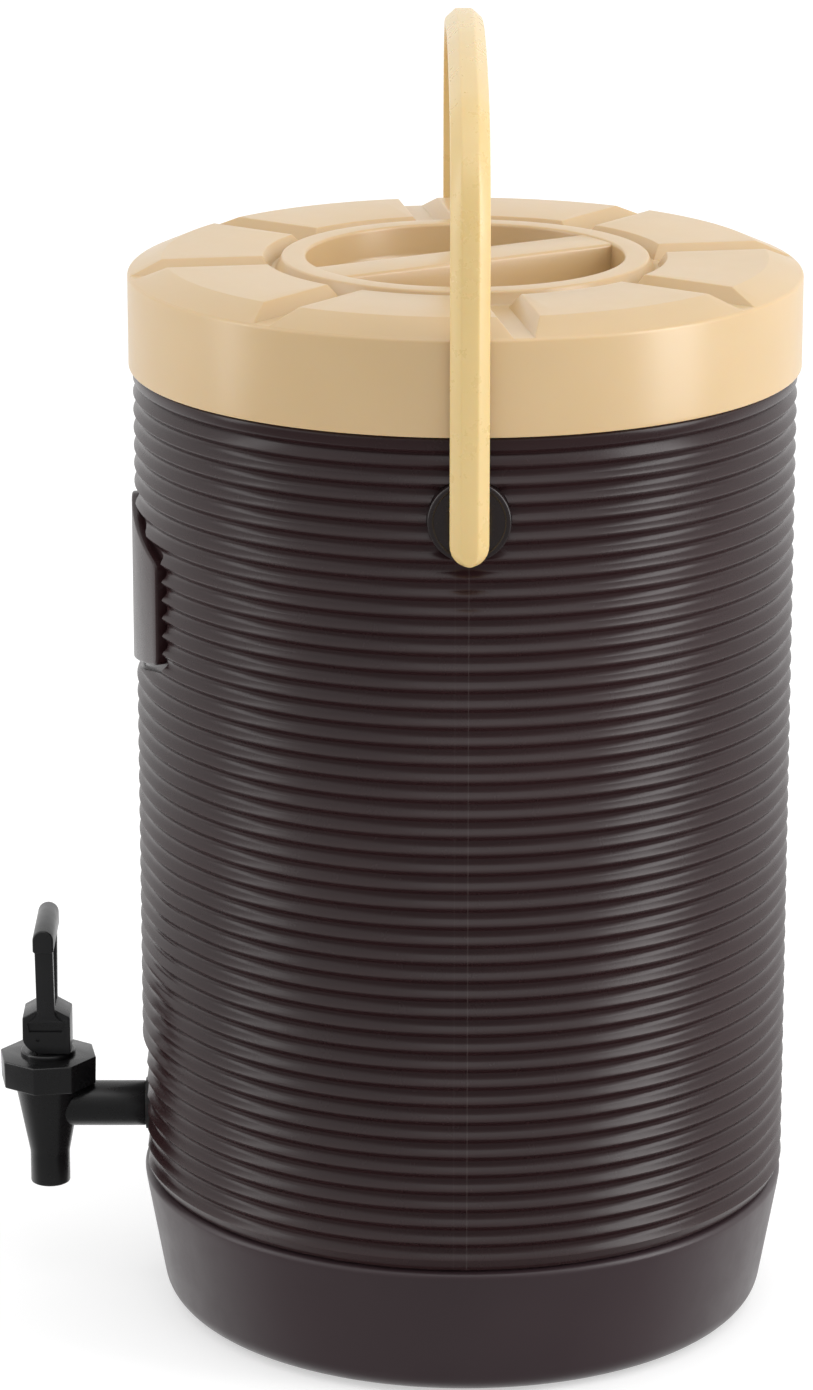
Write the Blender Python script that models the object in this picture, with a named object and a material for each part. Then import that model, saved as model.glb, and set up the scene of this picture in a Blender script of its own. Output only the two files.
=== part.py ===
"""Insulated drink carrier: ribbed double-walled barrel, grip-topped lid, swinging bail and draw-off tap.

Metres, +Z up, origin on the floor under the barrel's centre. The tap points to -Y and the bail's
pivots lie on +X and -X.
"""

import math

import bpy
import bmesh
from mathutils import Matrix, Vector

GAP = 0.0003            # air left between pieces that touch
CLEAR = 0.0200          # how far a cutter runs past the face that it opens
AXIS = (0.0, 0.0)       # the barrel's axis in plan
STEPS = 36              # facets round the barrel, the same for every nested shell
ROD_STEPS = 24          # facets round a rod
TAP_STEPS = 24          # facets round the tap's turned pieces
TINY = 1e-9

# Barrel wall
BODY_R = 0.1460         # rib crests
RIB_DEPTH = 0.0026
RIB_PITCH = 0.00804
RIB_COUNT = 45
FIRST_RIB_Z = 0.0678
SHELL_BOTTOM = 0.0623
SHELL_TOP = 0.4331
SHELL_IN_R = 0.1400
SHOULDER_IN_R = 0.1285
SHOULDER_THICK = 0.0030
FLAT_R = 0.1428         # distance of the tap's and the sockets' seats from the barrel's axis
TAP_FLAT_HALF = 0.0600
TAP_FLAT_BOTTOM = 0.0520
TAP_FLAT_TOP = 0.1225

# Label panel on the front
LABEL_R = 0.1473
LABEL_ROOT_R = 0.1408
LABEL_HALF_DEG = 24.0
LABEL_STATIONS = 8
LABEL_TOP_SIDE = 0.3560
LABEL_TOP_MID = 0.3750
LABEL_BOTTOM_SIDE = 0.3110
LABEL_BOTTOM_MID = 0.2990
LABEL_GROOVE = 0.0035
LABEL_GROOVE_R = 0.1422

# Base pan
SPIGOT_R = 0.1396       # upstand inside the shell
SPIGOT_IN_R = 0.1364
SPIGOT_TOP = 0.0760
PAN_FLOOR_TOP = 0.0096
FOOT_HEIGHT = 0.0060
FILL_Y = 0.0750         # the filling hole's distance from the axis
FILL_R = 0.0080

# Lining and neck
LINER_R = 0.1190
LINER_WALL = 0.0010
LINER_FLOOR = 0.0490
LINER_BEND_R = 0.1120   # where the floor's bevel starts
LINER_BEND_Z = 0.0560
RIM_TOP = 0.4523
RIM_R = 0.1340
NECK_R = 0.1385
NECK_LOW = 0.4205

# Lid
LID_R = 0.1478
LID_IN_R = 0.1412
LID_BOTTOM = 0.4334
LID_TURN_DEG = 8.8      # how far the lid is turned on the barrel
BAND_TOP = 0.4752
BLOCK_TOP = 0.4812
BLOCK_OUT_R = 0.1325
BLOCK_COUNT = 8
TRAY_LOW = 0.4330
FLANGE_LOW = 0.4560
TRAY_R = 0.1155
TRAY_IN_R = 0.1130
RECESS_R = 0.0690
RECESS_FLOOR = 0.4655
RECESS_UNDER = 0.4622
ROOF_UNDER = 0.4718

# Bail and its sockets
PIVOT_Z = 0.3980
BAIL_TOP = 0.5830
BAIL_X = 0.1493         # inner face of each leg
BAIL_THICK = 0.0080
BAIL_WIDTH = 0.0165
LEG_END_Z = 0.3880
STUD_R = 0.0050
SOCKET_R = 0.0175
SOCKET_FACE = 0.1488
BARREL_R = 0.0090
BARREL_END = 0.1258
BORE_END = 0.1288

# Tap
TAP_Y = -0.1895
PIPE_Z = 0.0858
PIPE_R = 0.01035
SHANK_R = 0.0090
SHANK_END = -0.1050
WASHER = 0.0018
STEM_R = 0.0035
NUT_Z = 0.0972
NUT_TOP = 0.1102
NUT_R = 0.0228
NUT_TURN_DEG = -13.2
CHAMBER_TOP = 0.1050
ROOF_Z = 0.1070
COLLAR_TOP = 0.1125
COLLAR_R = 0.0125
PIN_Z = 0.1197
STEM_TRAVEL = 0.0040
SPRING_SEAT = 0.0890
LEVER_TOP = 0.1760
LEVER_HALF_X = 0.0100
LEVER_HALF_Y = 0.0108


def clear_scene():
    for obj in list(bpy.data.objects):
        bpy.data.objects.remove(obj, do_unlink=True)


def material(name, colour, roughness, metallic=0.0):
    """A Principled BSDF material, made once and shared by the pieces that use it."""
    mat = bpy.data.materials.get(name)
    if mat is None:
        mat = bpy.data.materials.new(name)
        mat.use_nodes = True
        shader = mat.node_tree.nodes["Principled BSDF"]
        shader.inputs["Base Color"].default_value = (*colour, 1.0)
        shader.inputs["Roughness"].default_value = roughness
        shader.inputs["Metallic"].default_value = metallic
    return mat


def brown(name):
    return material(name, (0.085, 0.036, 0.021), 0.42)


def cream(name):
    return material(name, (0.68, 0.52, 0.31), 0.36)


def black(name):
    return material(name, (0.012, 0.012, 0.013), 0.38)


def steel(name):
    return material(name, (0.62, 0.62, 0.60), 0.24, 1.0)


def silicone(name):
    return material(name, (0.72, 0.72, 0.70), 0.62)


def foam(name):
    return material(name, (0.80, 0.66, 0.36), 0.90)


def add_object(name, bm, mat=None):
    """Turns a bmesh into a named object with its faces facing out."""
    bmesh.ops.remove_doubles(bm, verts=bm.verts, dist=1e-7)
    bmesh.ops.recalc_face_normals(bm, faces=bm.faces)
    mesh = bpy.data.meshes.new(name)
    bm.to_mesh(mesh)
    bm.free()
    obj = bpy.data.objects.new(name, mesh)
    bpy.context.collection.objects.link(obj)
    if mat is not None:
        mesh.materials.append(mat)
    return obj


def turned(steps, start_deg=0.0):
    """Cosine and sine of each corner of a regular polygon."""
    turns = [math.radians(start_deg) + 2 * math.pi * step / steps for step in range(steps)]
    return [(math.cos(turn), math.sin(turn)) for turn in turns]


def revolve(name, profile, mat=None, steps=STEPS, centre=AXIS):
    """Turns a profile of (radius, z) round a vertical axis; it may start and end on that axis."""
    bm = bmesh.new()
    rings = []
    for radius, z in profile:
        corners = turned(steps) if radius > TINY else [(0.0, 0.0)]
        rings.append([bm.verts.new((centre[0] + radius * c, centre[1] + radius * s, z)) for c, s in corners])
    pairs = list(zip(rings, rings[1:]))
    if len(rings[0]) > 1:
        pairs.append((rings[-1], rings[0]))
    for low, high in pairs:
        for step in range(steps):
            after = (step + 1) % steps
            if len(low) == 1:
                bm.faces.new((low[0], high[after], high[step]))
            elif len(high) == 1:
                bm.faces.new((low[step], low[after], high[0]))
            else:
                bm.faces.new((low[step], low[after], high[after], high[step]))
    return add_object(name, bm, mat)


def skin(name, rings, mat=None):
    """Closed body through a row of like outlines, with a cap at each end."""
    bm = bmesh.new()
    loops = [[bm.verts.new(point) for point in ring] for ring in rings]
    bm.faces.new(loops[0])
    bm.faces.new(list(reversed(loops[-1])))
    for near, far in zip(loops, loops[1:]):
        for index in range(len(near)):
            after = (index + 1) % len(near)
            bm.faces.new((near[index], near[after], far[after], far[index]))
    return add_object(name, bm, mat)


def extrude(name, outline, depth, mat=None):
    """A prism from a list of 3-D points in one plane, pushed along the vector depth."""
    near = [Vector(point) for point in outline]
    return skin(name, [near, [point + Vector(depth) for point in near]], mat)


def rod(name, start, end, radius, mat=None, steps=ROD_STEPS):
    """A round bar between two points, one of its corners pointing along Z or Y."""
    start = Vector(start)
    along = Vector(end) - start
    upright = abs(along.normalized().z) > 0.9
    side = Vector((0, 1, 0)) if upright else Vector((0, 0, 1))
    across = along.cross(side).normalized()
    outline = [start + radius * (c * side + s * across) for c, s in turned(steps)]
    return extrude(name, outline, along, mat)


def box(name, low, high):
    """A block between two opposite corners."""
    plan = ((low[0], low[1]), (high[0], low[1]), (high[0], high[1]), (low[0], high[1]))
    return extrude(name, [(x, y, low[2]) for x, y in plan], (0, 0, high[2] - low[2]))


def sweep(name, path, section, mat=None):
    """Carries a section along a path. Each station of the path is (point, normal, side)."""
    rings = [[point + u * side + v * normal for u, v in section] for point, normal, side in path]
    return skin(name, rings, mat)


def boolean(target, tools, operation):
    """Adds the tools to a piece or cuts them from it, exactly, and removes them."""
    for tool in tools:
        change = target.modifiers.new(operation.lower(), "BOOLEAN")
        change.operation = operation
        change.solver = "EXACT"
        change.object = tool
        graph = bpy.context.evaluated_depsgraph_get()
        result = bpy.data.meshes.new_from_object(target.evaluated_get(graph))
        target.modifiers.remove(change)
        old = target.data
        target.data = result
        bpy.data.meshes.remove(old)
        bpy.data.objects.remove(tool, do_unlink=True)
    return target


def join(target, *tools):
    return boolean(target, tools, "UNION")


def cut(target, *tools):
    return boolean(target, tools, "DIFFERENCE")


def set_origin(obj, point):
    """Moves an object's origin to its joint without moving its mesh."""
    obj.data.transform(Matrix.Translation(-Vector(point)))
    obj.location = point


def label_panel(name, low_r, high_r, half_deg, margin):
    """The label's outline on the barrel's front, wrapped round the axis and widened by margin."""
    rings = []
    for step in range(LABEL_STATIONS + 1):
        share = 2 * step / LABEL_STATIONS - 1
        turn = math.radians(-90 + half_deg * share)
        top = LABEL_TOP_MID + (LABEL_TOP_SIDE - LABEL_TOP_MID) * abs(share) + margin
        bottom = LABEL_BOTTOM_MID + (LABEL_BOTTOM_SIDE - LABEL_BOTTOM_MID) * abs(share) - margin
        out = Vector((math.cos(turn), math.sin(turn), 0))
        corners = ((low_r, bottom), (high_r, bottom), (high_r, top), (low_r, top))
        rings.append([out * radius + Vector((0, 0, z)) for radius, z in corners])
    return skin(name, rings)


def socket_rod(name, side, near, far, radius):
    """A rod on the bail's pivot line, from near to far along one side."""
    return rod(name, (side * near, 0, PIVOT_Z), (side * far, 0, PIVOT_Z), radius)


def inlet_rod(name, near, far, radius):
    """A rod on the line of the tap's inlet."""
    return rod(name, (0, near, PIPE_Z), (0, far, PIPE_Z), radius)


def outer_shell():
    """Brown moulded wall: ribs, a plain band at the top, an inward shoulder and a raised label panel."""
    valley_r = BODY_R - RIB_DEPTH
    band_edge = 0.0010
    profile = [(SHELL_IN_R, SHELL_BOTTOM), (valley_r, SHELL_BOTTOM)]
    for rib in range(RIB_COUNT):
        middle = FIRST_RIB_Z + rib * RIB_PITCH
        if rib:
            profile.append((valley_r, middle - RIB_PITCH / 2))
        profile.append((BODY_R, middle))
    last_valley = FIRST_RIB_Z + (RIB_COUNT - 0.5) * RIB_PITCH
    shoulder_under = SHELL_TOP - SHOULDER_THICK
    profile += [(valley_r, last_valley), (BODY_R, last_valley + band_edge), (BODY_R, SHELL_TOP)]
    profile += [(SHOULDER_IN_R, SHELL_TOP), (SHOULDER_IN_R, shoulder_under), (SHELL_IN_R, shoulder_under)]
    shell = revolve("outer_shell", profile, brown("brown_shell"))
    groove_deg = LABEL_HALF_DEG + math.degrees(LABEL_GROOVE / BODY_R)
    cut(shell, label_panel("groove", LABEL_GROOVE_R, BODY_R + CLEAR, groove_deg, LABEL_GROOVE))
    join(shell, label_panel("label", LABEL_ROOT_R, LABEL_R, LABEL_HALF_DEG, 0.0))
    flat_low = (-TAP_FLAT_HALF, -BODY_R - CLEAR, TAP_FLAT_BOTTOM)
    cut(shell, box("tap_flat", flat_low, (TAP_FLAT_HALF, -FLAT_R, TAP_FLAT_TOP)))
    cut(shell, inlet_rod("tap_hole", -BODY_R - CLEAR, -SHELL_IN_R + CLEAR, SHANK_R + GAP))
    for side in (1, -1):
        cut(shell, socket_rod("seat", side, FLAT_R, BODY_R + CLEAR, SOCKET_R + GAP))
        cut(shell, socket_rod("socket_hole", side, SHELL_IN_R - CLEAR, BODY_R + CLEAR, BARREL_R + GAP))
    return shell


def base_pan():
    """Brown bottom pan: a tapering skirt, a foot ring, a middle pad and a spigot inside the shell."""
    profile = [
        (0.0, 0.0), (0.0450, 0.0), (0.0480, FOOT_HEIGHT), (0.1020, FOOT_HEIGHT), (0.1050, 0.0), (0.1250, 0.0),
        (0.1325, 0.0040), (0.1372, 0.0110), (0.1455, 0.0580), (0.1448, 0.0620), (SPIGOT_R, 0.0620),
        (SPIGOT_R, SPIGOT_TOP), (SPIGOT_IN_R, SPIGOT_TOP), (SPIGOT_IN_R, 0.0300), (0.1335, 0.0130),
        (0.1280, PAN_FLOOR_TOP), (0.0, PAN_FLOOR_TOP),
    ]
    pan = revolve("base_pan", profile, brown("brown_base"))
    return cut(pan, rod("fill_hole", (0, FILL_Y, -CLEAR), (0, FILL_Y, CLEAR), FILL_R))


def fill_plug():
    """Push-in plug over the hole that the foam was poured through."""
    head_r = 0.0104
    head_low = 0.0030
    head_top = FOOT_HEIGHT - GAP
    neck_r = FILL_R - GAP
    neck_top = PAN_FLOOR_TOP - GAP
    profile = [
        (0.0, head_low), (head_r - 0.0004, head_low), (head_r, head_top), (neck_r, head_top),
        (neck_r, neck_top),
        (0.0, neck_top),
    ]
    return revolve("fill_plug", profile, black("black_plug"), ROD_STEPS, (0, FILL_Y))


def foam_insulation():
    """Foamed filling between the shell and the steel lining."""
    inner = LINER_R + GAP
    outer = SHELL_IN_R - GAP
    collar = SHOULDER_IN_R + GAP
    low = PAN_FLOOR_TOP + 0.0004
    over_spigot = SPIGOT_TOP + 0.0004
    under_shoulder = SHELL_TOP - SHOULDER_THICK - GAP
    under_neck = NECK_LOW - 0.0004
    under_lining = LINER_FLOOR - GAP
    profile = [
        (0.0, low), (0.1275, low), (0.1330, 0.0134), (0.1360, 0.0302), (0.1360, over_spigot),
        (outer, over_spigot),
        (outer, under_shoulder), (collar, under_shoulder), (collar, under_neck), (inner, under_neck),
        (inner, LINER_BEND_Z), (LINER_BEND_R + 0.0001, under_lining), (0.0, under_lining),
    ]
    filling = revolve("foam_insulation", profile, foam("foam_body"))
    cut(filling, inlet_rod("tap_hole", -SHELL_IN_R - CLEAR, -LINER_R + 0.009, SHANK_R + GAP))
    for side in (1, -1):
        cut(filling, socket_rod("socket_hole", side, BARREL_END - GAP, SHELL_IN_R + CLEAR, BARREL_R + GAP))
    return filling


def inner_liner():
    """Stainless lining: a deep-drawn pot with a flat rim that the lid's seal sits on."""
    inside = LINER_R - LINER_WALL
    floor_top = LINER_FLOOR + LINER_WALL
    rim_low = RIM_TOP - LINER_WALL
    profile = [
        (0.0, LINER_FLOOR), (LINER_BEND_R, LINER_FLOOR), (LINER_R, LINER_BEND_Z), (LINER_R, rim_low),
        (RIM_R, rim_low), (RIM_R, RIM_TOP), (inside, RIM_TOP), (inside, LINER_BEND_Z + 0.0004),
        (LINER_BEND_R - 0.0004, floor_top), (0.0, floor_top),
    ]
    pot = revolve("inner_liner", profile, steel("steel_liner"))
    return cut(pot, inlet_rod("tap_hole", -LINER_R - CLEAR, -LINER_R + CLEAR, SHANK_R + GAP))


def neck_ring():
    """Brown collar on the shell's shoulder that carries the lining's rim and centres the lid."""
    inside = LINER_R + GAP
    collar = SHOULDER_IN_R - GAP
    top = RIM_TOP - LINER_WALL - GAP
    bevel = 0.0015
    profile = [
        (inside, NECK_LOW), (collar, NECK_LOW), (collar, SHELL_TOP + GAP), (NECK_R, SHELL_TOP + GAP),
        (NECK_R, top - bevel), (NECK_R - bevel, top), (inside, top),
    ]
    return revolve("neck_ring", profile, brown("brown_neck"))


def pivot_socket(name, side):
    """Round boss pressed into the shell, bored for the bail's stud."""
    play = 0.0002
    disc = socket_rod(name, side, FLAT_R + GAP, SOCKET_FACE, SOCKET_R)
    disc.data.materials.append(brown("brown_socket"))
    join(disc, socket_rod("barrel", side, BARREL_END, BODY_R, BARREL_R))
    return cut(disc, socket_rod("bore", side, BORE_END, SOCKET_FACE + CLEAR, STUD_R + play))


def radial_groove(turn):
    """Cutter for one groove across the lid's raised ring: flat floor, sloping sides."""
    floor_half = 0.00425
    top_half = 0.0104
    low = BAND_TOP - 0.0002
    high = BLOCK_TOP + 0.0018
    start = 0.0835
    length = 0.0800
    along = Vector((math.cos(turn), math.sin(turn), 0))
    side = Vector((-math.sin(turn), math.cos(turn), 0))
    section = ((-floor_half, low), (floor_half, low), (top_half, high), (-top_half, high))
    outline = [along * start + side * u + Vector((0, 0, z)) for u, z in section]
    return extrude("groove", outline, along * length)


def grip_bar():
    """Straight bar across the lid's round recess, for the fingers."""
    half = 0.0135
    length = 0.0706
    draft = 0.0012
    low = RECESS_FLOOR - 0.0015
    high = BLOCK_TOP - 0.0006
    turn = math.radians(LID_TURN_DEG + 112.5)
    along = Vector((math.cos(turn), math.sin(turn), 0))
    side = Vector((-math.sin(turn), math.cos(turn), 0))
    section = ((-half, low), (half, low), (half - draft, high), (draft - half, high))
    outline = [side * u - along * length + Vector((0, 0, z)) for u, z in section]
    return extrude("bar", outline, along * 2 * length)


def lid_top():
    """Cream lid shell: side band, eight raised blocks, a rim ring round a recess and its grip bar."""
    bevel = 0.0010
    ring_edge = BLOCK_TOP - 0.0006
    profile = [
        (0.0, RECESS_FLOOR), (RECESS_R, RECESS_FLOOR), (RECESS_R + 0.0008, ring_edge),
        (RECESS_R + 0.0018, BLOCK_TOP), (0.0808 - bevel, BLOCK_TOP), (0.0808, ring_edge), (0.0830, BAND_TOP),
        (0.0850, BAND_TOP), (0.0885, BLOCK_TOP), (BLOCK_OUT_R, BLOCK_TOP), (LID_R, BAND_TOP),
        (LID_R, LID_BOTTOM),
        (LID_IN_R, LID_BOTTOM), (LID_IN_R, ROOF_UNDER), (0.0748, ROOF_UNDER), (0.0726, RECESS_UNDER),
        (0.0, RECESS_UNDER),
    ]
    shell = revolve("lid_top", profile, cream("cream_lid"))
    turns = [LID_TURN_DEG + 360 * step / BLOCK_COUNT for step in range(BLOCK_COUNT)]
    cut(shell, *[radial_groove(math.radians(turn)) for turn in turns])
    return join(shell, grip_bar())


def lid_under():
    """Lid's inner tray: a plug that hangs in the mouth of the lining, and a flange under the seal."""
    wall = 0.0028
    flange_top = FLANGE_LOW + 0.0025
    flange_r = LID_IN_R - 0.0004
    floor_top = TRAY_LOW + wall
    profile = [
        (0.0, TRAY_LOW), (TRAY_IN_R, TRAY_LOW), (TRAY_R, TRAY_LOW + 0.0030), (TRAY_R, FLANGE_LOW),
        (flange_r, FLANGE_LOW), (flange_r, flange_top), (TRAY_IN_R, flange_top), (TRAY_IN_R, floor_top),
        (0.0, floor_top),
    ]
    return revolve("lid_under", profile, material("white_tray", (0.78, 0.76, 0.70), 0.40))


def lid_foam():
    """Foamed filling of the lid."""
    low = TRAY_LOW + 0.0031
    over_flange = FLANGE_LOW + 0.0028
    under_roof = ROOF_UNDER - 0.0004
    under_recess = RECESS_UNDER - 0.0004
    outer = LID_IN_R - 0.0004
    inner = TRAY_IN_R - GAP
    profile = [
        (0.0, low), (inner, low), (inner, over_flange), (outer, over_flange), (outer, under_roof),
        (0.0751, under_roof), (0.0729, under_recess), (0.0, under_recess),
    ]
    return revolve("lid_foam", profile, foam("foam_lid"))


def lid_seal():
    """Soft ring between the tray's flange and the lining's rim."""
    low = RIM_TOP + GAP
    high = FLANGE_LOW - GAP
    inner = 0.1245
    outer = 0.1335
    bevel = 0.0008
    shoulder = 0.0017
    profile = [
        (inner, low + bevel), (inner + shoulder, low), (outer - shoulder, low), (outer, low + bevel),
        (outer, high), (inner, high),
    ]
    return revolve("lid_seal", profile, silicone("silicone_lid"))


def bail_path():
    """Half of the bail's centre line, from a leg's lower end to the middle of the crown."""
    centre_x = BAIL_X + BAIL_THICK / 2
    corner_r = 0.0550
    corner_steps = 8
    crown = math.radians(12.0)
    crown_steps = 4
    corner_turn = math.pi / 2 - crown
    crown_r = (centre_x - corner_r + corner_r * math.sin(crown)) / math.sin(crown)
    crown_z = BAIL_TOP - BAIL_THICK / 2 - crown_r
    corner_z = crown_z + (crown_r - corner_r) * math.cos(crown)
    stations = [((centre_x, LEG_END_Z), 0.0), ((centre_x, corner_z), 0.0)]
    for step in range(1, corner_steps + 1):
        turn = corner_turn * step / corner_steps
        point = (centre_x - corner_r + corner_r * math.cos(turn), corner_z + corner_r * math.sin(turn))
        stations.append((point, turn))
    for step in range(1, crown_steps + 1):
        turn = corner_turn + crown * step / crown_steps
        stations.append(((crown_r * math.cos(turn), crown_z + crown_r * math.sin(turn)), turn))
    return stations


def bail_handle():
    """Cream carrying bail: a strip with two sloping outer facets, rounded ends and two moulded studs."""
    half = bail_path()
    stations = half + [((-x, z), math.pi - turn) for (x, z), turn in reversed(half[:-1])]
    path = []
    for (x, z), turn in stations:
        path.append((Vector((x, 0, z)), Vector((math.cos(turn), 0, math.sin(turn))), Vector((0, 1, 0))))
    wide = BAIL_WIDTH / 2
    deep = BAIL_THICK / 2
    flat = 0.0036
    facet = deep - 0.0045
    section = [(-wide, -deep), (wide, -deep), (wide, facet), (flat, deep), (-flat, deep), (-wide, facet)]
    bail = sweep("bail_handle", path, section, cream("cream_bail"))
    end_start = LEG_END_Z + 0.0010
    end_depth = 0.0094
    end_thick = BAIL_THICK - 0.0035
    end_steps = 8
    for side in (1, -1):
        outline = []
        for step in range(end_steps + 1):
            turn = math.pi * step / end_steps
            outline.append((side * BAIL_X, wide * math.cos(turn), end_start - end_depth * math.sin(turn)))
        join(bail, extrude("end", outline, (side * end_thick, 0, 0)))
        join(bail, socket_rod("stud", side, BORE_END + 0.0007, BAIL_X + 0.0020, STUD_R))
    set_origin(bail, (0, 0, PIVOT_Z))
    return bail


def tap_body():
    """Black tap body: spout, swelling valve chamber and threaded inlet shank."""
    centre = (0, TAP_Y)
    spout_r = 0.0090
    spout_end = 0.0479
    swell_r = 0.0152
    chamber_r = 0.0160
    profile = [
        (0.0, spout_end), (spout_r - 0.0004, spout_end), (spout_r, spout_end + 0.0005), (spout_r, 0.0630),
        (swell_r, 0.0956), (swell_r, 0.0962), (chamber_r, 0.0966), (chamber_r, CHAMBER_TOP),
        (0.0, CHAMBER_TOP),
    ]
    body = revolve("tap_body", profile, black("black_tap"), TAP_STEPS, centre)
    shoulder = -FLAT_R - WASHER - 2 * GAP
    join(body, inlet_rod("pipe", TAP_Y, shoulder, PIPE_R))
    join(body, inlet_rod("shank", shoulder - 0.0050, SHANK_END, SHANK_R))
    bore_r = 0.0065
    seat_z = 0.0780
    valve_r = 0.0110
    low = spout_end - CLEAR
    high = CHAMBER_TOP + CLEAR
    bore = [(0.0, low), (bore_r, low), (bore_r, seat_z), (valve_r, seat_z), (valve_r, high), (0.0, high)]
    cut(body, revolve("chamber", bore, None, TAP_STEPS - 2, centre))
    return cut(body, inlet_rod("inlet", TAP_Y + 0.0040, SHANK_END + CLEAR, 0.0060))


def tap_bonnet():
    """Eight-sided screw cap over the valve chamber, with a collar that the lever bears on."""
    outline = [(NUT_R * c, TAP_Y + NUT_R * s, NUT_Z) for c, s in turned(8, NUT_TURN_DEG)]
    cap = extrude("tap_bonnet", outline, (0, 0, NUT_TOP - NUT_Z), black("black_bonnet"))
    join(cap, rod("collar", (0, TAP_Y, NUT_TOP - 0.0010), (0, TAP_Y, COLLAR_TOP), COLLAR_R))
    thread_r = 0.0163
    stem_hole_r = STEM_R + 0.0004
    low = NUT_Z - CLEAR
    high = COLLAR_TOP + CLEAR
    bore = [
        (0.0, low), (thread_r, low), (thread_r, ROOF_Z), (stem_hole_r, ROOF_Z), (stem_hole_r, high),
        (0.0, high),
    ]
    return cut(cap, revolve("thread", bore, None, TAP_STEPS, (0, TAP_Y)))


def bonnet_gasket():
    """Flat ring sealed between the valve chamber's rim and the bonnet."""
    low = CHAMBER_TOP + GAP
    high = ROOF_Z - GAP
    inner = 0.0114
    outer = 0.0158
    profile = [(inner, low), (outer, low), (outer, high), (inner, high)]
    return revolve("bonnet_gasket", profile, silicone("silicone_gasket"), TAP_STEPS, (0, TAP_Y))


def tap_stem():
    """Valve stem: a rod with a spring flange and a flat eye for the lever's pin."""
    flange_r = 0.0085
    flange_low = SPRING_SEAT - 0.0014
    low = 0.0831
    top = PIN_Z - 0.0020
    eye_half = 0.0033
    profile = [
        (0.0, low), (STEM_R, low), (STEM_R, flange_low), (flange_r, flange_low), (flange_r, SPRING_SEAT),
        (STEM_R, SPRING_SEAT), (STEM_R, top), (0.0, top),
    ]
    stem = revolve("tap_stem", profile, steel("steel_stem"), 16, (0, TAP_Y))
    join(stem, rod("eye", (-eye_half, TAP_Y, PIN_Z), (eye_half, TAP_Y, PIN_Z), 0.0042, None, 16))
    cut(stem, rod("pin_hole", (-CLEAR, TAP_Y, PIN_Z), (CLEAR, TAP_Y, PIN_Z), 0.0016, None, 12))
    set_origin(stem, (0, TAP_Y, PIN_Z))
    return stem


def tap_spring():
    """Coil spring that presses the stem's flange down, and with it the plug on its seat."""
    coil_r = 0.0068
    wire_r = 0.0005
    low = SPRING_SEAT + GAP + wire_r
    high = ROOF_Z - GAP - wire_r
    turns = 5
    stations = 12 * turns
    path = []
    for step in range(stations + 1):
        share = step / stations
        turn = 2 * math.pi * turns * share
        out = Vector((math.cos(turn), math.sin(turn), 0))
        point = Vector((0, TAP_Y, low + (high - low) * share)) + coil_r * out
        path.append((point, Vector((0, 0, 1)), out))
    section = [(wire_r * c, wire_r * s) for c, s in turned(5)]
    return sweep("tap_spring", path, section, steel("steel_spring"))


def tap_seat_plug():
    """Silicone plug on the stem's lower end that closes the spout's bore."""
    low = 0.0783
    plug_r = 0.0098
    hole_r = STEM_R + GAP
    hole_end = 0.0828
    top = SPRING_SEAT - 0.0018
    profile = [
        (0.0, low), (0.0088, low), (plug_r, 0.0798), (plug_r, 0.0840), (0.0062, top), (hole_r, top),
        (hole_r, hole_end), (0.0, hole_end),
    ]
    return revolve("tap_seat_plug", profile, silicone("silicone_plug"), 20, (0, TAP_Y))


def lever_block():
    """The lever's foot: a forked block whose front lower edge is a cam that lifts the stem."""
    rest = PIN_Z - COLLAR_TOP
    peak_half = 0.0042
    peak = 0.0145
    shoulder = 0.0108
    relief = 0.0005
    cam_steps = 8
    outline = [(-peak_half, peak), (peak_half, peak), (LEVER_HALF_Y, shoulder)]
    outline += [(LEVER_HALF_Y, GAP - rest), (0.0, GAP - rest)]
    for step in range(1, cam_steps + 1):
        turn = math.pi / 2 * step / cam_steps
        radius = rest + STEM_TRAVEL * step / cam_steps - GAP - relief * math.sin(2 * turn)
        outline.append((-radius * math.sin(turn), -radius * math.cos(turn)))
    outline.append((-LEVER_HALF_Y, shoulder))
    points = [(-LEVER_HALF_X, TAP_Y + y, PIN_Z + z) for y, z in outline]
    return extrude("tap_lever", points, (2 * LEVER_HALF_X, 0, 0), black("black_lever"))


def lever_bar():
    """Finger bar across the top of the lever, flat below and rounded above."""
    half = 0.0047
    length = 0.0215
    edge = 0.0010
    low = LEVER_TOP - 0.0108
    round_steps = 6
    outline = [(-half + edge, low), (half - edge, low), (half, low + edge)]
    for step in range(round_steps + 1):
        turn = math.pi * step / round_steps
        outline.append((half * math.cos(turn), LEVER_TOP - half + half * math.sin(turn)))
    outline.append((-half, low + edge))
    points = [(-length, TAP_Y + y, z) for y, z in outline]
    return extrude("bar", points, (2 * length, 0, 0))


def tap_lever():
    """Flip lever: forked cam block, two leaning legs and a finger bar across them."""
    lever = lever_block()
    leg_half = 0.0041
    leg = ((0.0045, 0.1275), (0.0096, 0.1290), (0.0182, 0.1675), (0.0130, 0.1675))
    for side in (1, -1):
        points = [(side * x, TAP_Y - leg_half, z) for x, z in leg]
        join(lever, extrude("leg", points, (0, 2 * leg_half, 0)))
    join(lever, lever_bar())
    slot_half = 0.0037
    slot_reach = 0.0048
    low = (-slot_half, TAP_Y - CLEAR, PIN_Z - CLEAR)
    cut(lever, box("fork", low, (slot_half, TAP_Y + slot_reach, PIN_Z + slot_reach)))
    cut(lever, rod("pin_hole", (-CLEAR, TAP_Y, PIN_Z), (0.0080, TAP_Y, PIN_Z), 0.0017, None, 12))
    set_origin(lever, (0, TAP_Y, PIN_Z))
    return lever


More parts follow.
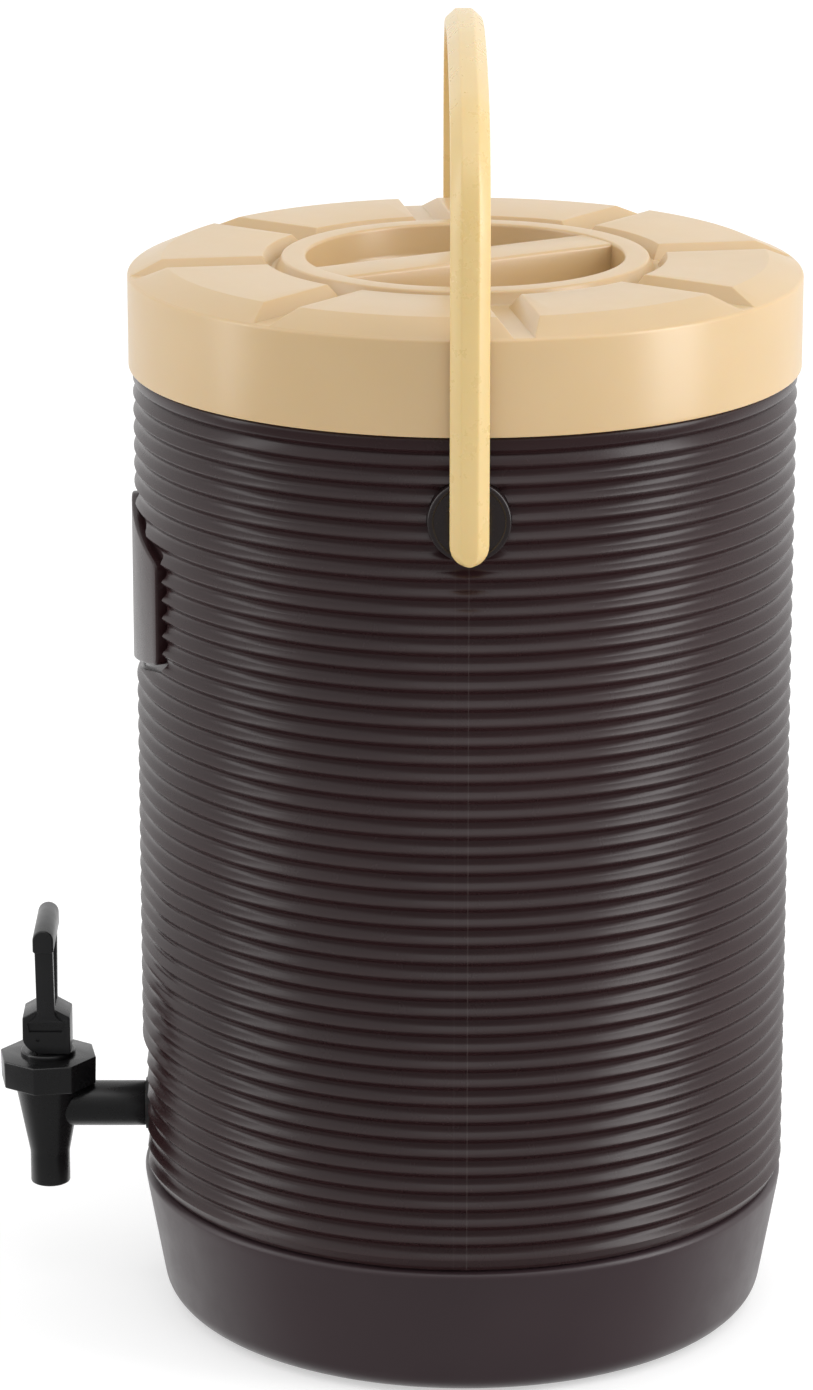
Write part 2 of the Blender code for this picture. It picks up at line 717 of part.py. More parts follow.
def lever_pin():
    """Steel pin through the lever's fork and the stem's eye, pressed in from the -X side."""
    start = (GAP - LEVER_HALF_X, TAP_Y, PIN_Z)
    pin = rod("lever_pin", start, (0.0076, TAP_Y, PIN_Z), 0.0014, steel("steel_pin"), 12)
    set_origin(pin, (0, TAP_Y, PIN_Z))
    return pin


def inlet_ring(name, outer_r, near, far, mat):
    """A washer on the tap's shank."""
    ring = inlet_rod(name, near, far, outer_r)
    ring.data.materials.append(mat)
    return cut(ring, inlet_rod("hole", near - CLEAR, far + CLEAR, SHANK_R + GAP))


def lock_nut():
    """Hexagon nut that draws the tap's shank tight from inside the lining."""
    corner_r = 0.0150
    face = -0.1142
    depth = 0.0080
    outline = [(corner_r * c, face, PIPE_Z + corner_r * s) for c, s in turned(6, 30)]
    nut = extrude("lock_nut", outline, (0, depth, 0), steel("steel_nut"))
    return cut(nut, inlet_rod("thread", face - CLEAR, face + CLEAR, SHANK_R + 0.0002))


def build():
    clear_scene()
    base_pan()
    fill_plug()
    outer_shell()
    foam_insulation()
    inner_liner()
    neck_ring()
    pivot_socket("pivot_socket_right", 1)
    pivot_socket("pivot_socket_left", -1)
    lid_top()
    lid_foam()
    lid_under()
    lid_seal()
    bail_handle()
    tap_body()
    tap_bonnet()
    bonnet_gasket()
    tap_stem()
    tap_spring()
    tap_seat_plug()
    tap_lever()
    lever_pin()
    inlet_ring("outer_washer", 0.0118, -FLAT_R - WASHER - GAP, -FLAT_R - GAP, black("rubber_outer"))
    inlet_ring("inner_washer", 0.0150, -0.1165, -0.1145, silicone("silicone_inner"))
    lock_nut()


build()
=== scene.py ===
import math

import bpy
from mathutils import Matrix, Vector


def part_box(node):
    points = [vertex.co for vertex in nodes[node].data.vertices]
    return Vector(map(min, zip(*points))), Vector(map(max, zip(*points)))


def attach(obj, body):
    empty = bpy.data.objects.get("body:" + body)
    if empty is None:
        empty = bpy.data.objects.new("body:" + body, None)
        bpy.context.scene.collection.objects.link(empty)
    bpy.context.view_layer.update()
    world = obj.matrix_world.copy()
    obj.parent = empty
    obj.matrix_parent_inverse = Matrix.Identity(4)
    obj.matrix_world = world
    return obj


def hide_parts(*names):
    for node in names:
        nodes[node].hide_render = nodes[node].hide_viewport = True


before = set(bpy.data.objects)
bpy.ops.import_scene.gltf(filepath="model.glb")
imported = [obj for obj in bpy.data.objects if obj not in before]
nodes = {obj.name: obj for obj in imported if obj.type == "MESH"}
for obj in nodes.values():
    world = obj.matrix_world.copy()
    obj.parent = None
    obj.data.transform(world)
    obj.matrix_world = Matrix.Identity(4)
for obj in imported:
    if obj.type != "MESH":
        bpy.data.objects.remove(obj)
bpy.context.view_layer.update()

# Camera: above the lid's height and tipped down, looking at the barrel's side where the bail hangs,
# so that the label and the tap stand out at the left. A long lens keeps the sides nearly upright.
camera_data = bpy.data.cameras.new("camera")
camera_data.lens = 133.2
camera_data.sensor_width = 36.0
camera = bpy.data.objects.new("camera", camera_data)
bpy.context.collection.objects.link(camera)
bpy.context.scene.camera = camera
camera_turn = math.radians(89.2)
camera_reach = 2.2131
camera_height = 0.9243
camera_tip = math.radians(16.225)
camera_aside = math.radians(0.665)
camera.location = (
    camera_reach * math.sin(camera_turn),
    -camera_reach * math.cos(camera_turn),
    camera_height,
)
camera.rotation_euler = (math.pi / 2 - camera_tip, 0.0, camera_turn + camera_aside)


# Base pan: the moulded brown bottom of the barrel. A smooth tapering skirt stands on a foot ring,
# with a pad in the middle, and a spigot on top pushes up inside the ribbed wall.
weld = 0.000004


def start_at(name, place):
    """A new mesh in edit mode that is one vertex."""
    bpy.ops.object.select_all(action="DESELECT")
    bpy.ops.mesh.primitive_plane_add(size=0.01, location=place)
    piece = bpy.context.object
    piece.name = name
    bpy.ops.object.mode_set(mode="EDIT")
    bpy.ops.mesh.select_mode(type="VERT")
    bpy.ops.mesh.select_all(action="SELECT")
    bpy.ops.mesh.merge(type="CENTER")
    return piece


def draw(places):
    """Pulls the selected vertex along a row of places, edge by edge."""
    for start, end in zip(places, places[1:]):
        step = tuple(Vector(end) - Vector(start))
        bpy.ops.mesh.extrude_vertices_move(TRANSFORM_OT_translate={"value": step})


def fill_outline(name, places):
    """One flat face inside a closed row of places, left in edit mode with the face selected."""
    piece = start_at(name, places[0])
    draw(list(places) + [places[0]])
    bpy.ops.mesh.select_all(action="SELECT")
    bpy.ops.mesh.remove_doubles(threshold=weld)
    bpy.ops.mesh.select_all(action="SELECT")
    bpy.ops.mesh.edge_face_add()
    return piece


def settle():
    """Welds the mesh, turns its faces out, and puts its place into the mesh."""
    bpy.ops.mesh.select_all(action="SELECT")
    bpy.ops.mesh.remove_doubles(threshold=weld)
    bpy.ops.mesh.normals_make_consistent(inside=False)
    bpy.ops.object.mode_set(mode="OBJECT")
    bpy.ops.object.transform_apply(location=True, rotation=True, scale=True)


def turn(name, profile, steps=144, centre=(0, 0, 0), along=(0, 0, 1), out=(1, 0, 0)):
    """Turns an outline of (radius, place along the axis) into a closed body, as on a lathe."""
    origin, axis, side = Vector(centre), Vector(along), Vector(out)
    places = [origin + side * radius + axis * reach for radius, reach in profile]
    piece = start_at(name, places[0])
    draw(places)
    bpy.ops.mesh.select_all(action="SELECT")
    bpy.ops.mesh.spin(steps=steps, angle=math.tau, center=centre, axis=along)
    settle()
    return piece


def arc(centre_r, centre_z, radius, start, end, steps=6):
    """Points of a rounded corner in an outline, angles in degrees."""
    turns = [math.radians(start + (end - start) * step / steps) for step in range(steps + 1)]
    return [(centre_r + radius * math.cos(t), centre_z + radius * math.sin(t)) for t in turns]


def apply_change(piece, change):
    """Works a modifier into the mesh."""
    bpy.ops.object.select_all(action="DESELECT")
    piece.select_set(True)
    bpy.context.view_layer.objects.active = piece
    bpy.ops.object.modifier_apply(modifier=change.name)


def round_edges(piece, width, segments=3, over=30):
    """Rounds every edge that is sharper than an angle."""
    change = piece.modifiers.new("rounded", "BEVEL")
    change.width = width
    change.segments = segments
    change.limit_method = "ANGLE"
    change.angle_limit = math.radians(over)
    apply_change(piece, change)


def fit(piece, tool, operation):
    """Welds a tool on, or cuts it away, and removes it."""
    change = piece.modifiers.new("fit", "BOOLEAN")
    change.operation = operation
    change.solver = "EXACT"
    change.object = tool
    apply_change(piece, change)
    bpy.data.objects.remove(tool, do_unlink=True)


def drill(piece, radius, start, end, steps=48):
    """Bores a round hole from one place to another."""
    start, end = Vector(start), Vector(end)
    turned = (end - start).to_track_quat("Z", "Y").to_euler()
    bpy.ops.object.select_all(action="DESELECT")
    bpy.ops.mesh.primitive_cylinder_add(
        vertices=steps,
        radius=radius,
        depth=(end - start).length,
        location=(start + end) / 2,
        rotation=turned,
    )
    fit(piece, bpy.context.object, "DIFFERENCE")


def smooth(piece, over=32):
    """Shades the mesh smooth, apart from edges sharper than an angle."""
    bpy.ops.object.select_all(action="DESELECT")
    piece.select_set(True)
    bpy.context.view_layer.objects.active = piece
    bpy.ops.object.shade_smooth_by_angle(angle=math.radians(over))


def wear(piece, finish):
    """Gives a piece its one finish."""
    piece.data.materials.clear()
    piece.data.materials.append(finish)


def fresh_finish(name):
    """An empty material with its shader, its output and the piece's own coordinates."""
    mat = bpy.data.materials.new(name)
    mat.use_nodes = True
    tree = mat.node_tree
    shader = tree.nodes["Principled BSDF"]
    place = tree.nodes.new("ShaderNodeTexCoord").outputs["Object"]
    return mat, tree, shader, place


def speckle(tree, place, scale, detail=3.0, rough=0.55, stretch=None):
    """Noise of a size, stretched along an axis where the real grain is."""
    if stretch is not None:
        mapping = tree.nodes.new("ShaderNodeMapping")
        mapping.inputs["Scale"].default_value = stretch
        tree.links.new(place, mapping.inputs["Vector"])
        place = mapping.outputs["Vector"]
    noise = tree.nodes.new("ShaderNodeTexNoise")
    noise.inputs["Scale"].default_value = scale
    noise.inputs["Detail"].default_value = detail
    noise.inputs["Roughness"].default_value = rough
    tree.links.new(place, noise.inputs["Vector"])
    return noise.outputs["Fac"]


def blend_tones(tree, share, low, high, dark, light):
    """A colour between two tones, as share runs from low to high."""
    ramp = tree.nodes.new("ShaderNodeValToRGB")
    ramp.color_ramp.elements[0].position = low
    ramp.color_ramp.elements[1].position = high
    ramp.color_ramp.elements[0].color = (*dark, 1)
    ramp.color_ramp.elements[1].color = (*light, 1)
    tree.links.new(share, ramp.inputs["Fac"])
    return ramp.outputs["Color"]


def spread(tree, share, low, high):
    """A number that runs from low to high with share."""
    node = tree.nodes.new("ShaderNodeMapRange")
    node.inputs["From Min"].default_value = 0.3
    node.inputs["From Max"].default_value = 0.7
    node.inputs["To Min"].default_value = low
    node.inputs["To Max"].default_value = high
    tree.links.new(share, node.inputs["Value"])
    return node.outputs["Result"]


def raise_grain(tree, height, strength, distance, under=None):
    """Bump from a height, on top of another bump where there is one."""
    bump = tree.nodes.new("ShaderNodeBump")
    bump.inputs["Strength"].default_value = strength
    bump.inputs["Distance"].default_value = distance
    tree.links.new(height, bump.inputs["Height"])
    if under is not None:
        tree.links.new(under, bump.inputs["Normal"])
    return bump.outputs["Normal"]


def tint_where(tree, measure, start, end, amount, colour, tint):
    """Mixes a tint into a colour, more as a measure runs from start to end."""
    share = tree.nodes.new("ShaderNodeMapRange")
    share.inputs["From Min"].default_value = start
    share.inputs["From Max"].default_value = end
    share.inputs["To Max"].default_value = amount
    tree.links.new(measure, share.inputs["Value"])
    mix = tree.nodes.new("ShaderNodeMix")
    mix.data_type = "RGBA"
    share_in, colour_in, tint_in, colour_out = mix.inputs[0], mix.inputs[6], mix.inputs[7], mix.outputs[2]
    tree.links.new(share.outputs["Result"], share_in)
    tree.links.new(colour, colour_in)
    tint_in.default_value = (*tint, 1)
    return colour_out


def painted_edge_highlight(tree, colour, highlight_tone, amount):
    """Painted highlight: lightens the colour where the surface turns sharply outwards, such as rims and rib
    crests.
    """
    sharpness = tree.nodes.new("ShaderNodeNewGeometry").outputs["Pointiness"]
    return tint_where(tree, sharpness, 0.52, 0.62, amount, colour, highlight_tone)


def moulded(name, dark, light, roughness, shine, grain=0.06, highlight_tone=None):
    """Moulded plastic: slow tone drift, fine spark-eroded grain, faint scuffs and a painted highlight that
    lightens sharp edges.
    """
    mat, tree, shader, place = fresh_finish(name)
    drift = speckle(tree, place, 9.0, 2.0)
    colour = blend_tones(tree, drift, 0.35, 0.65, dark, light)
    # Painted highlight: sharp edges and crests get a lighter tone.
    if highlight_tone is not None:
        colour = painted_edge_highlight(tree, colour, highlight_tone, 0.35)
    tree.links.new(colour, shader.inputs["Base Color"])
    scuffs = speckle(tree, place, 60.0, 5.0, 0.7)
    low, high = roughness
    tree.links.new(spread(tree, scuffs, low, high), shader.inputs["Roughness"])
    shader.inputs["Specular IOR Level"].default_value = shine
    coarse = raise_grain(tree, speckle(tree, place, 55.0, 2.0), grain, 0.0012)
    fine = raise_grain(tree, speckle(tree, place, 2600.0, 2.0), grain * 1.6, 0.00006, coarse)
    tree.links.new(fine, shader.inputs["Normal"])
    return mat


brown_dark = (0.0200, 0.0080, 0.0088)
brown_light = (0.0245, 0.0100, 0.0108)
# A lighter brown painted on sharp edges, rims and rib crests as a highlight.
brown_edge_highlight = (0.050, 0.036, 0.034)
pan_brown = moulded(
    "brown_pan", (0.0300, 0.0165, 0.0200), (0.0350, 0.0200, 0.0235), (0.34, 0.42), 0.50, 0.10, brown_edge_highlight
)

foot_height = 0.0060
pan_floor = 0.0096
heel_r = 0.0122
spigot_r, spigot_in, spigot_top = 0.1396, 0.1364, 0.0760
fill_hole_r, fill_hole_y = 0.0080, 0.075
pan_profile = [(0.0, 0.0), (0.0446, 0.0), (0.0451, 0.0003), (0.0479, foot_height - 0.0003)]
pan_profile += [(0.0486, foot_height), (0.1014, foot_height), (0.1021, foot_height - 0.0003)]
pan_profile += [(0.1049, 0.0003), (0.1056, 0.0)]
pan_profile += arc(0.1250, heel_r, heel_r, -90, -10, 10)
pan_profile += [(0.1398, 0.0258), (0.1426, 0.0416), (0.1450, 0.0552)]
pan_profile += arc(0.1430, 0.0588, 0.0025, -10, 70, 5)
pan_profile += [(0.1420, 0.0619), (spigot_r, 0.0620), (spigot_r, spigot_top - 0.0005)]
pan_profile += [(spigot_r - 0.0005, spigot_top), (spigot_in + 0.0005, spigot_top)]
pan_profile += [(spigot_in, spigot_top - 0.0005), (spigot_in, 0.0300), (0.1335, 0.0130)]
pan_profile += [(0.1280, pan_floor), (0.0, pan_floor)]
base_skin = turn("base_skin", pan_profile, 160)
drill(base_skin, fill_hole_r, (0, fill_hole_y, -0.01), (0, fill_hole_y, 0.02))
smooth(base_skin)
wear(base_skin, pan_brown)
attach(base_skin, "barrel")
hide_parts("base_pan")

# Filling plug: the black cap pushed into the hole that the foam was poured through, underneath.
# It keeps its own shape and gets the finish of moulded polypropylene.
plug_dark, plug_light = (0.010, 0.010, 0.011), (0.016, 0.016, 0.017)
wear(nodes["fill_plug"], moulded("black_plug_finish", plug_dark, plug_light, (0.40, 0.55), 0.45))

# Ribbed wall: one brown moulding with forty-five rounded ribs, a plain band under the lid and a
# shoulder that turns inwards. A label panel stands in a groove on the front, and a shallow flat
# lets the tap's washer seat. Flash lines run down both sides, where the mould parts.
rib_pitch = 0.00804
rib_depth = 0.0026
rib_count = 45
rib_points = 8
rib_sharpness = 1.6
crest_r = 0.1460
first_rib = 0.0678
wall_in = 0.1400
wall_bottom, wall_top = (corner.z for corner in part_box("outer_shell"))
shoulder_in, shoulder_thick = 0.1285, 0.0030


def rib_outline():
    """Rounded crests with wider hollows between them, from the bottom rib to the top one."""
    outline = []
    for step in range(rib_points // 2, rib_count * rib_points - rib_points // 2 + 1):
        swell = (1 + math.cos(math.tau * (step / rib_points - 0.5))) / 2
        height = first_rib + rib_pitch * (step / rib_points - 0.5)
        outline.append((crest_r - rib_depth * (1 - swell ** rib_sharpness), height))
    return outline


band_start = first_rib + (rib_count - 0.5) * rib_pitch
wall_profile = [(wall_in, wall_bottom), (0.1430, wall_bottom), (0.1437, wall_bottom + 0.0006)]
wall_profile += [(0.1446, wall_bottom + 0.0022)] + rib_outline()
wall_profile += [(crest_r - 0.0008, band_start - 0.0024), (crest_r - rib_depth, band_start)]
wall_profile += [(crest_r - 0.0024, band_start + 0.0006), (crest_r - 0.0006, band_start + 0.0018)]
wall_profile += [(crest_r, band_start + 0.0030), (crest_r, wall_top - 0.0022)]
wall_profile += arc(crest_r - 0.0018, wall_top - 0.0018, 0.0018, 0, 90, 4)
wall_profile += [(shoulder_in, wall_top), (shoulder_in, wall_top - shoulder_thick)]
wall_profile += [(wall_in, wall_top - shoulder_thick), (wall_in, wall_bottom)]
barrel_skin = turn("barrel_skin", wall_profile, 160)

flat_low, flat_high, flat_depth = 0.0520, 0.1225, 0.0030
for vertex in barrel_skin.data.vertices:
    x, y, z = vertex.co
    reach = math.hypot(x, y)
    if flat_low < z < flat_high and reach > wall_in + 0.001:
        vertex.co.y = max(y, flat_depth - reach)


def label_panel(name, margin, near, far, corner, columns=22):
    """The six-cornered panel, with rounded corners, wrapped round the front of the barrel."""
    half = math.radians(24) * crest_r + margin
    side_top, side_low = 0.3560 + margin, 0.3110 - margin
    middle_top, middle_low = 0.3750 + margin, 0.2990 - margin
    outline = [(-half, side_low), (0, middle_low), (half, side_low)]
    outline += [(half, side_top), (0, middle_top), (-half, side_top)]
    panel = fill_outline(name, [(across, 0.0, height) for across, height in outline])
    bpy.ops.mesh.bevel(offset=corner, segments=6, affect="VERTICES")
    for column in range(1, columns):
        bpy.ops.mesh.select_all(action="SELECT")
        cut = half * (2 * column / columns - 1)
        bpy.ops.mesh.bisect(plane_co=(cut, 0, 0), plane_no=(1, 0, 0))
    bpy.ops.mesh.select_all(action="SELECT")
    bpy.ops.mesh.extrude_region_move(TRANSFORM_OT_translate={"value": (0, 1, 0)})
    settle()
    for vertex in panel.data.vertices:
        turned = vertex.co.x / crest_r
        reach = far if vertex.co.y > 0.5 else near
        vertex.co = (reach * math.sin(turned), -reach * math.cos(turned), vertex.co.z)
    bpy.ops.object.mode_set(mode="EDIT")
    settle()
    return panel


groove_width, groove_floor, beyond_wall = 0.0035, 0.1422, 0.1600
label_root, label_face = 0.1408, 0.1473
groove = label_panel("label_groove", groove_width, groove_floor, beyond_wall, 0.0050)
fit(barrel_skin, groove, "DIFFERENCE")
label = label_panel("label", 0.0, label_root, label_face, 0.0040)
round_edges(label, 0.0011, 3, 50)
fit(barrel_skin, label, "UNION")

socket_z = 0.3980
seat_r, seat_floor, socket_hole_r = 0.0178, 0.1428, 0.0093
seat_profile = [(0.0, 0.1300), (socket_hole_r, 0.1300), (socket_hole_r, seat_floor)]
seat_profile += [(seat_r, seat_floor), (seat_r, 0.1700), (0.0, 0.1700)]
for side in (1, -1):
    seat = turn("seat", seat_profile, 72, (0, 0, socket_z), (side, 0, 0), (0, 0, 1))
    fit(barrel_skin, seat, "DIFFERENCE")
shank_hole_r, shank_z = 0.0093, 0.0858
drill(barrel_skin, shank_hole_r, (0, -0.170, shank_z), (0, -0.130, shank_z))
smooth(barrel_skin, 38)


def ribbed_brown():
    """The wall's brown, with a flash line up each side and a fainter one beside it."""
    mat = moulded("brown_wall", brown_dark, brown_light, (0.23, 0.29), 0.34, 0.03, brown_edge_highlight)
    tree = mat.node_tree
    shader = tree.nodes["Principled BSDF"]
    place = tree.nodes["Texture Coordinate"].outputs["Object"]
    split = tree.nodes.new("ShaderNodeSeparateXYZ")
    tree.links.new(place, split.inputs["Vector"])
    colour = shader.inputs["Base Color"].links[0].from_socket
    for offset, strength in ((0.0, 0.55), (-0.0057, 0.16)):
        away = tree.nodes.new("ShaderNodeMath")
        away.operation = "SUBTRACT"
        away.inputs[1].default_value = offset
        tree.links.new(split.outputs["Y"], away.inputs[0])
        width = tree.nodes.new("ShaderNodeMath")
        width.operation = "ABSOLUTE"
        tree.links.new(away.outputs[0], width.inputs[0])
        flash_tone = (0.060, 0.046, 0.044)
        colour = tint_where(tree, width.outputs[0], 0.00030, 0.00010, strength, colour, flash_tone)
    tree.links.new(colour, shader.inputs["Base Color"])
    return mat


wear(barrel_skin, ribbed_brown())
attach(barrel_skin, "barrel")
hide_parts("outer_shell")


# Foam filling: yellow rigid foam, poured between the wall and the lining. Closed in all round, it
# keeps its own shape and gets the fine cells of set foam.
def foamed(name):
    """Rigid foam: fine cells, dull all over, with slow changes of yellow."""
    mat, tree, shader, place = fresh_finish(name)
    cells = tree.nodes.new("ShaderNodeTexVoronoi")
    cells.inputs["Scale"].default_value = 700.0
    tree.links.new(place, cells.inputs["Vector"])
    foam_dark, foam_light = (0.62, 0.46, 0.20), (0.80, 0.66, 0.36)
    colour = blend_tones(tree, speckle(tree, place, 30.0), 0.3, 0.7, foam_dark, foam_light)
    tree.links.new(colour, shader.inputs["Base Color"])
    tree.links.new(spread(tree, speckle(tree, place, 200.0), 0.82, 0.95), shader.inputs["Roughness"])
    tree.links.new(raise_grain(tree, cells.outputs["Distance"], 0.6, 0.0006), shader.inputs["Normal"])
    return mat


wear(nodes["foam_insulation"], foamed("set_foam"))
wear(nodes["lid_foam"], foamed("set_lid_foam"))


# Steel lining: a pot drawn from one sheet and brushed round and round, with a flat rim that the
# lid's seal presses on.
def brushed(name, stretch, low=0.20, high=0.34, tint=(0.62, 0.61, 0.59)):
    """Steel with fine scratches along one way, and the slight waviness of formed sheet."""
    mat, tree, shader, place = fresh_finish(name)
    lines = speckle(tree, place, 1.0, 6.0, 0.65, stretch)
    shade = tuple(0.86 * part for part in tint)
    tree.links.new(blend_tones(tree, lines, 0.3, 0.7, shade, tint), shader.inputs["Base Color"])
    tree.links.new(spread(tree, lines, low, high), shader.inputs["Roughness"])
    wavy = raise_grain(tree, speckle(tree, place, 14.0, 1.0), 0.05, 0.001)
    tree.links.new(raise_grain(tree, lines, 0.10, 0.0001, wavy), shader.inputs["Normal"])
    shader.inputs["Metallic"].default_value = 1.0
    return mat


liner_in = 0.1180
liner_out = 0.1190
pot_floor = 0.0490
rim_low, rim_top = 0.4513, 0.4523
liner_profile = [(0.0, pot_floor), (0.1100, pot_floor)] + arc(0.1110, 0.0570, 0.0080, -90, 0, 8)
liner_profile += [(liner_out, 0.4505), (0.1198, rim_low), (0.1336, rim_low), (0.1340, 0.4518)]
liner_profile += [(0.1336, rim_top), (0.1196, rim_top), (0.1185, 0.4518), (liner_in, 0.4505)]
liner_profile += [(liner_in, 0.0575)] + arc(0.1110, 0.0570, 0.0070, 0, -90, 8)
liner_profile += [(0.1100, pot_floor + 0.0010), (0.0, pot_floor + 0.0010)]
lining = turn("steel_lining", liner_profile, 144)
drill(lining, shank_hole_r, (0, -0.130, shank_z), (0, -0.100, shank_z))
smooth(lining)
wear(lining, brushed("brushed_lining", (6, 6, 900)))
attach(lining, "barrel")
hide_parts("inner_liner")

# Neck ring: the brown collar on the wall's shoulder. It carries the lining's rim, and the lid
# drops over it.
neck_in, neck_plug_r, neck_foot = 0.1193, 0.1282, 0.4205
neck_profile = [(neck_in, neck_foot), (neck_plug_r, neck_foot), (neck_plug_r, 0.4334), (0.1380, 0.4334)]
neck_profile += [(0.1385, 0.4339)] + arc(0.1371, 0.4496, 0.0014, 0, 90, 5)
neck_profile += [(0.1197, 0.4510), (neck_in, 0.4506), (neck_in, neck_foot)]
neck = turn("neck_collar", neck_profile, 144)
smooth(neck)
neck_brown = moulded("brown_neck_finish", brown_dark, brown_light, (0.32, 0.42), 0.48, 0.08, brown_edge_highlight)
wear(neck, neck_brown)
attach(neck, "barrel")
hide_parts("neck_ring")

# Pivot sockets: two round brown bosses pressed into seats in the wall. Each has a raised rim and a
# bore that the bail's stud turns in.
boss_end, boss_face, stud_bore_r = 0.1258, 0.1483, 0.0052
socket_profile = [(0.0, boss_end), (0.0085, boss_end), (0.0090, boss_end + 0.0005), (0.0090, 0.1431)]
socket_profile += [(0.0170, 0.1431), (0.0175, 0.1436)] + arc(0.0165, 0.1478, 0.0010, 0, 90, 4)
socket_profile += [(0.0158, 0.1488), (0.0152, 0.1486), (0.0149, boss_face), (0.0062, boss_face)]
socket_profile += [(0.0057, 0.1481), (stud_bore_r, 0.1476), (stud_bore_r, 0.1288), (0.0, 0.1288)]
boss_brown = moulded(
    "brown_boss", (0.0110, 0.0062, 0.0064), (0.0135, 0.0076, 0.0078), (0.22, 0.32), 0.60, 0.08, brown_edge_highlight
)
for side, word in ((1, "right"), (-1, "left")):
    socket = turn("socket_" + word, socket_profile, 96, (0, 0, socket_z), (side, 0, 0), (0, 0, 1))
    smooth(socket)
    wear(socket, boss_brown)
    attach(socket, "barrel")
    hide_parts("pivot_socket_" + word)

# Lid: one cream moulding. A deep side band, a flat roof with eight raised blocks, a rim ring round
# a finger recess, and a straight grip bar across the recess.
lid_turn = 8.8
block_count = 8
roof_z, block_top = 0.4750, 0.4812
recess_floor, recess_under = 0.4655, 0.4622
band_r, band_in, band_foot = 0.1478, 0.1412, 0.4334
ring_round, ring_top = 0.0014, 0.4798
roof = [(0.0, recess_floor), (0.0656, recess_floor)] + arc(0.0656, 0.4689, 0.0034, -90, -4, 5)
roof += [(0.0697, ring_top)] + arc(0.0711, ring_top, ring_round, 180, 90, 4)
roof += arc(0.0793, ring_top, ring_round, 90, 18, 4) + [(0.0824, 0.4760), (0.0831, 0.4753)]
roof += [(0.0842, roof_z), (0.1000, roof_z), (0.1200, roof_z)] + arc(0.1462, 0.4734, 0.0016, 90, 0, 5)
roof += [(band_r, 0.4350)] + arc(0.1470, 0.4342, 0.0008, 0, -90, 4)
roof += [(0.1416, band_foot), (band_in, band_foot + 0.0004), (band_in, 0.4718), (0.0748, 0.4718)]
roof += [(0.0726, recess_under), (0.0, recess_under)]
lid = turn("lid_shell", roof, 180)


def lid_block():
    """One raised block: a turned wedge, cut along both grooves beside it, with rounded edges."""
    root = 0.4733
    section = [(0.0842, root), (0.0849, 0.4748), (0.0885, block_top), (0.1325, block_top)]
    section += [(0.1471, 0.4749), (0.1471, root)]
    half = math.pi / block_count
    places = [(radius * math.cos(half), -radius * math.sin(half), height) for radius, height in section]
    block = fill_outline("block", places)
    bpy.ops.mesh.spin(steps=24, angle=2 * half, center=(0, 0, 0), axis=(0, 0, -1))
    groove_half, groove_run, groove_rise = 0.00425, 0.00615, 0.0080
    for side in (1, -1):
        along = Vector((math.cos(half), side * math.sin(half), 0))
        across = Vector((math.sin(half), -side * math.cos(half), 0))
        slope = across * groove_run + Vector((0, 0, groove_rise))
        face = along.cross(slope).normalized()
        if face.dot(across) > 0:
            face = -face
        start = across * groove_half + Vector((0, 0, roof_z))
        bpy.ops.mesh.select_all(action="SELECT")
        bpy.ops.mesh.bisect(plane_co=start, plane_no=face, use_fill=True, clear_outer=True)
    settle()
    round_edges(block, 0.0015, 3, 12)
    return block


first_block = lid_block()
blocks = []
for step in range(block_count):
    copy = first_block.copy()
    copy.data = first_block.data.copy()
    bpy.context.collection.objects.link(copy)
    copy.rotation_euler.z = math.radians(lid_turn) + math.tau * (step + 0.5) / block_count
    blocks.append(copy)
bpy.data.objects.remove(first_block, do_unlink=True)
bpy.ops.object.select_all(action="DESELECT")
for copy in blocks:
    copy.select_set(True)
bpy.context.view_layer.objects.active = blocks[0]
bpy.ops.object.transform_apply(location=False, rotation=True, scale=False)
bpy.ops.object.join()
fit(lid, blocks[0], "UNION")



def cube(place, size):
    """A plain block of a size, round its middle."""
    bpy.ops.object.select_all(action="DESELECT")
    bpy.ops.mesh.primitive_cube_add(size=1, location=place)
    block = bpy.context.object
    block.scale = size
    bpy.ops.object.transform_apply(location=True, rotation=True, scale=True)
    return block


bar_half, bar_length, bar_low, bar_top, bar_draft = 0.0135, 0.0706, 0.4640, 0.4807, 0.0012
bar = cube((0, 0, (bar_low + bar_top) / 2), (2 * bar_length, 2 * bar_half, bar_top - bar_low))
for vertex in bar.data.vertices:
    if vertex.co.z > bar_low + 0.001:
        vertex.co.y -= math.copysign(bar_draft, vertex.co.y)
round_edges(bar, 0.0016, 4, 50)
bar.rotation_euler.z = math.radians(lid_turn + 112.5)
bpy.ops.object.select_all(action="DESELECT")
bar.select_set(True)
bpy.context.view_layer.objects.active = bar
bpy.ops.object.transform_apply(location=False, rotation=True, scale=False)
fit(lid, bar, "UNION")
smooth(lid, 40)


def cream_plastic(name, dark, light, roughness, shine, depth=0.004):
    """Cream moulding, a little see-through, so that thin edges and hollows glow warmer."""
    mat = moulded(name, dark, light, roughness, shine, 0.008)
    shader = mat.node_tree.nodes["Principled BSDF"]
    shader.inputs["Subsurface Weight"].default_value = 0.35
    shader.inputs["Subsurface Radius"].default_value = (1.0, 0.55, 0.22)
    shader.inputs["Subsurface Scale"].default_value = depth
    return mat


lid_dark, lid_light = (0.56, 0.395, 0.205), (0.60, 0.430, 0.235)
wear(lid, cream_plastic("cream_lid_finish", lid_dark, lid_light, (0.28, 0.32), 0.80))
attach(lid, "lid")
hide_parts("lid_top")

